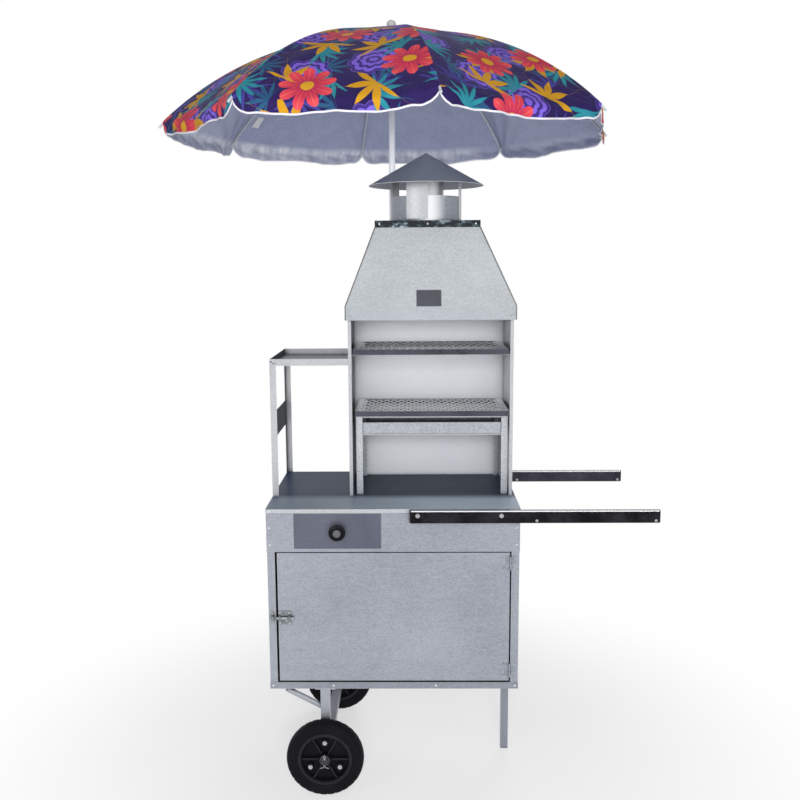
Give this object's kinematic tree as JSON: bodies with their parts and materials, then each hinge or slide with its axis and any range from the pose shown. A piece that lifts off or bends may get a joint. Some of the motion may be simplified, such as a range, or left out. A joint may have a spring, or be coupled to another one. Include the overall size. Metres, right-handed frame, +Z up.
{
  "type": "barbecue cart",
  "caption": "Galvanised charcoal barbecue cart: cabinet with door and drawer, hooded firebox with sliding grills, side shelf, wheels, push handles and a folding umbrella.",
  "frame": {"origin": "On the floor under the centre of the whole cart's box.", "axes": "+Z up, the front (door, drawer, open firebox) faces -Y, the push handles point to +X."},
  "size_m": [1.6253, 1.5766, 2.538],
  "materials": {
    "galvanised_sheet": "hot-dip zinc with fine spangle",
    "zinc_steel": "bright zinc plate",
    "dark_sheet": "smooth dark grey",
    "grill_steel": "bare steel, heat-tinted",
    "grey_steel_tube": "grey, satin",
    "black_paint": "gloss",
    "black_plastic": "matte",
    "black_knob": "gloss with a grey insert",
    "black_tyre": "matte",
    "pale_mast": "off-white, satin",
    "pale_plastic": "satin",
    "zinc_ribs": "bright drawn wire",
    "canopy_cloth": "printed outside, silver-grey lining"
  },
  "bodies": {
    "cart": {"base_tray": "galvanised_sheet", "left_side_panel": "galvanised_sheet", "right_side_panel": "galvanised_sheet", "back_panel": "galvanised_sheet", "front_fascia": "galvanised_sheet", "counter_top": "galvanised_sheet", "door_hinge_leaves": "zinc_steel", "latch_keeper": "zinc_steel", "drawer_sleeve": "galvanised_sheet", "front_handle": "black_paint", "rear_handle": "black_paint", "tube_end_plugs": "black_plastic", "fasteners": "zinc_steel", "firebox_shell": "galvanised_sheet", "hood": "galvanised_sheet", "badge_plate": "dark_sheet", "hood_top_cap": "galvanised_sheet", "chimney_collar": "galvanised_sheet", "chimney_cap": "galvanised_sheet", "brazier_stand": "galvanised_sheet", "shelf_tray": "galvanised_sheet", "shelf_frame": "galvanised_sheet", "axle_frame": "grey_steel_tube", "axle": "zinc_steel", "support_leg": "grey_steel_tube", "umbrella_socket": "zinc_steel"},
    "door": {"door": "galvanised_sheet", "latch_body": "zinc_steel"},
    "latch_bolt": {"latch_bolt": "zinc_steel"},
    "drawer": {"drawer": "dark_sheet", "drawer_knob": "black_knob"},
    "charcoal_tray": {"charcoal_tray": "galvanised_sheet"},
    "lower_grill": {"lower_grill": "grill_steel"},
    "upper_grill": {"upper_grill": "grill_steel"},
    "front_wheel": {"front_hub": "black_plastic", "front_tyre": "black_tyre"},
    "rear_wheel": {"rear_hub": "black_plastic", "rear_tyre": "black_tyre"},
    "mast_lower": {"mast_lower": "pale_mast"},
    "mast_upper": {"mast_upper": "pale_mast", "umbrella_crown": "pale_plastic", "umbrella_finial": "pale_plastic", "umbrella_canopy": "canopy_cloth"},
    "umbrella_runner": {"umbrella_runner": "pale_plastic"},
    "umbrella_rib_1": {"umbrella_rib_1": "zinc_ribs"},
    "umbrella_stretcher_1": {"umbrella_stretcher_1": "zinc_ribs"},
    "umbrella_rib_2": {"umbrella_rib_2": "zinc_ribs"},
    "umbrella_stretcher_2": {"umbrella_stretcher_2": "zinc_ribs"},
    "umbrella_rib_3": {"umbrella_rib_3": "zinc_ribs"},
    "umbrella_stretcher_3": {"umbrella_stretcher_3": "zinc_ribs"},
    "umbrella_rib_4": {"umbrella_rib_4": "zinc_ribs"},
    "umbrella_stretcher_4": {"umbrella_stretcher_4": "zinc_ribs"},
    "umbrella_rib_5": {"umbrella_rib_5": "zinc_ribs"},
    "umbrella_stretcher_5": {"umbrella_stretcher_5": "zinc_ribs"},
    "umbrella_rib_6": {"umbrella_rib_6": "zinc_ribs"},
    "umbrella_stretcher_6": {"umbrella_stretcher_6": "zinc_ribs"},
    "umbrella_rib_7": {"umbrella_rib_7": "zinc_ribs"},
    "umbrella_stretcher_7": {"umbrella_stretcher_7": "zinc_ribs"},
    "umbrella_rib_8": {"umbrella_rib_8": "zinc_ribs"},
    "umbrella_stretcher_8": {"umbrella_stretcher_8": "zinc_ribs"}
  },
  "joints": [
    {"name": "front_wheel_spin", "type": "hinge", "parent": "cart", "child": "front_wheel", "pos_m": [-0.243, -0.581, 0.125], "axis": [0, 1, 0], "continuous": true},
    {"name": "rear_wheel_spin", "type": "hinge", "parent": "cart", "child": "rear_wheel", "pos_m": [-0.243, 0.003, 0.125], "axis": [0, 1, 0], "continuous": true},
    {"name": "door_hinge", "type": "hinge", "parent": "cart", "child": "door", "pos_m": [0.3506, -0.5562, 0.5875], "axis": [0, 0, 1], "range_deg": [0, 110]},
    {"name": "latch_bolt_slide", "type": "slide", "parent": "door", "child": "latch_bolt", "axis": [-1, 0, 0], "range_m": [0, 0.014]},
    {"name": "drawer_slide", "type": "slide", "parent": "cart", "child": "drawer", "axis": [0, -1, 0], "range_m": [0, 0.3]},
    {"name": "charcoal_tray_slide", "type": "slide", "parent": "cart", "child": "charcoal_tray", "axis": [0, -1, 0], "range_m": [0, 0.25]},
    {"name": "lower_grill_slide", "type": "slide", "parent": "cart", "child": "lower_grill", "axis": [0, -1, 0], "range_m": [0, 0.22]},
    {"name": "upper_grill_slide", "type": "slide", "parent": "cart", "child": "upper_grill", "axis": [0, -1, 0], "range_m": [0, 0.24]},
    {"name": "umbrella_swivel", "type": "hinge", "parent": "cart", "child": "mast_lower", "pos_m": [-0.025, 0, 0.8], "axis": [0, 0, 1], "continuous": true},
    {"name": "mast_lift", "type": "slide", "parent": "mast_lower", "child": "mast_upper", "axis": [0, 0, 1], "range_m": [0, 0.3]},
    {"name": "runner_slide", "type": "slide", "parent": "mast_upper", "child": "umbrella_runner", "axis": [0, 0, 1], "range_m": [-0.2224, 0], "deforming": ["umbrella_canopy"]},
    {"name": "rib_1_hinge", "type": "hinge", "parent": "mast_upper", "child": "umbrella_rib_1", "pos_m": [-0.00928, 0.00296, 2.484], "axis": [-0.1848, 0.9828, 0], "range_deg": [0, 20]},
    {"name": "stretcher_1_hinge", "type": "hinge", "parent": "umbrella_rib_1", "child": "umbrella_stretcher_1", "pos_m": [0.32083, 0.06503, 2.42329], "axis": [-0.1848, 0.9828, 0], "range_deg": [-40, 0]},
    {"name": "rib_2_hinge", "type": "hinge", "parent": "mast_upper", "child": "umbrella_rib_2", "pos_m": [-0.01597, 0.01321, 2.484], "axis": [-0.8256, 0.5642, 0], "range_deg": [0, 20]},
    {"name": "stretcher_2_hinge", "type": "hinge", "parent": "umbrella_rib_2", "child": "umbrella_stretcher_2", "pos_m": [0.17355, 0.29052, 2.42329], "axis": [-0.8256, 0.5642, 0], "range_deg": [-40, 0]},
    {"name": "rib_3_hinge", "type": "hinge", "parent": "mast_upper", "child": "umbrella_rib_3", "pos_m": [-0.02796, 0.01572, 2.484], "axis": [-0.9828, -0.1848, 0], "range_deg": [0, 20]},
    {"name": "stretcher_3_hinge", "type": "hinge", "parent": "umbrella_rib_3", "child": "umbrella_stretcher_3", "pos_m": [-0.09003, 0.34583, 2.42329], "axis": [-0.9828, -0.1848, 0], "range_deg": [-40, 0]},
    {"name": "rib_4_hinge", "type": "hinge", "parent": "mast_upper", "child": "umbrella_rib_4", "pos_m": [-0.03821, 0.00903, 2.484], "axis": [-0.5642, -0.8256, 0], "range_deg": [0, 20]},
    {"name": "stretcher_4_hinge", "type": "hinge", "parent": "umbrella_rib_4", "child": "umbrella_stretcher_4", "pos_m": [-0.31552, 0.19855, 2.42329], "axis": [-0.5642, -0.8256, 0], "range_deg": [-40, 0]},
    {"name": "rib_5_hinge", "type": "hinge", "parent": "mast_upper", "child": "umbrella_rib_5", "pos_m": [-0.04072, -0.00296, 2.484], "axis": [0.1848, -0.9828, 0], "range_deg": [0, 20]},
    {"name": "stretcher_5_hinge", "type": "hinge", "parent": "umbrella_rib_5", "child": "umbrella_stretcher_5", "pos_m": [-0.37083, -0.06503, 2.42329], "axis": [0.1848, -0.9828, 0], "range_deg": [-40, 0]},
    {"name": "rib_6_hinge", "type": "hinge", "parent": "mast_upper", "child": "umbrella_rib_6", "pos_m": [-0.03403, -0.01321, 2.484], "axis": [0.8256, -0.5642, 0], "range_deg": [0, 20]},
    {"name": "stretcher_6_hinge", "type": "hinge", "parent": "umbrella_rib_6", "child": "umbrella_stretcher_6", "pos_m": [-0.22355, -0.29052, 2.42329], "axis": [0.8256, -0.5642, 0], "range_deg": [-40, 0]},
    {"name": "rib_7_hinge", "type": "hinge", "parent": "mast_upper", "child": "umbrella_rib_7", "pos_m": [-0.02204, -0.01572, 2.484], "axis": [0.9828, 0.1848, 0], "range_deg": [0, 20]},
    {"name": "stretcher_7_hinge", "type": "hinge", "parent": "umbrella_rib_7", "child": "umbrella_stretcher_7", "pos_m": [0.04003, -0.34583, 2.42329], "axis": [0.9828, 0.1848, 0], "range_deg": [-40, 0]},
    {"name": "rib_8_hinge", "type": "hinge", "parent": "mast_upper", "child": "umbrella_rib_8", "pos_m": [-0.01179, -0.00903, 2.484], "axis": [0.5642, 0.8256, 0], "range_deg": [0, 20]},
    {"name": "stretcher_8_hinge", "type": "hinge", "parent": "umbrella_rib_8", "child": "umbrella_stretcher_8", "pos_m": [0.26552, -0.19855, 2.42329], "axis": [0.5642, 0.8256, 0], "range_deg": [-40, 0]}
  ],
  "couplings": [
    {"joint": "rib_1_hinge", "follows": "runner_slide", "rad_per_m": -1.5695},
    {"joint": "stretcher_1_hinge", "follows": "runner_slide", "rad_per_m": 3.1391},
    {"joint": "rib_2_hinge", "follows": "runner_slide", "rad_per_m": -1.5695},
    {"joint": "stretcher_2_hinge", "follows": "runner_slide", "rad_per_m": 3.1391},
    {"joint": "rib_3_hinge", "follows": "runner_slide", "rad_per_m": -1.5695},
    {"joint": "stretcher_3_hinge", "follows": "runner_slide", "rad_per_m": 3.1391},
    {"joint": "rib_4_hinge", "follows": "runner_slide", "rad_per_m": -1.5695},
    {"joint": "stretcher_4_hinge", "follows": "runner_slide", "rad_per_m": 3.1391},
    {"joint": "rib_5_hinge", "follows": "runner_slide", "rad_per_m": -1.5695},
    {"joint": "stretcher_5_hinge", "follows": "runner_slide", "rad_per_m": 3.1391},
    {"joint": "rib_6_hinge", "follows": "runner_slide", "rad_per_m": -1.5695},
    {"joint": "stretcher_6_hinge", "follows": "runner_slide", "rad_per_m": 3.1391},
    {"joint": "rib_7_hinge", "follows": "runner_slide", "rad_per_m": -1.5695},
    {"joint": "stretcher_7_hinge", "follows": "runner_slide", "rad_per_m": 3.1391},
    {"joint": "rib_8_hinge", "follows": "runner_slide", "rad_per_m": -1.5695},
    {"joint": "stretcher_8_hinge", "follows": "runner_slide", "rad_per_m": 3.1391}
  ]
}
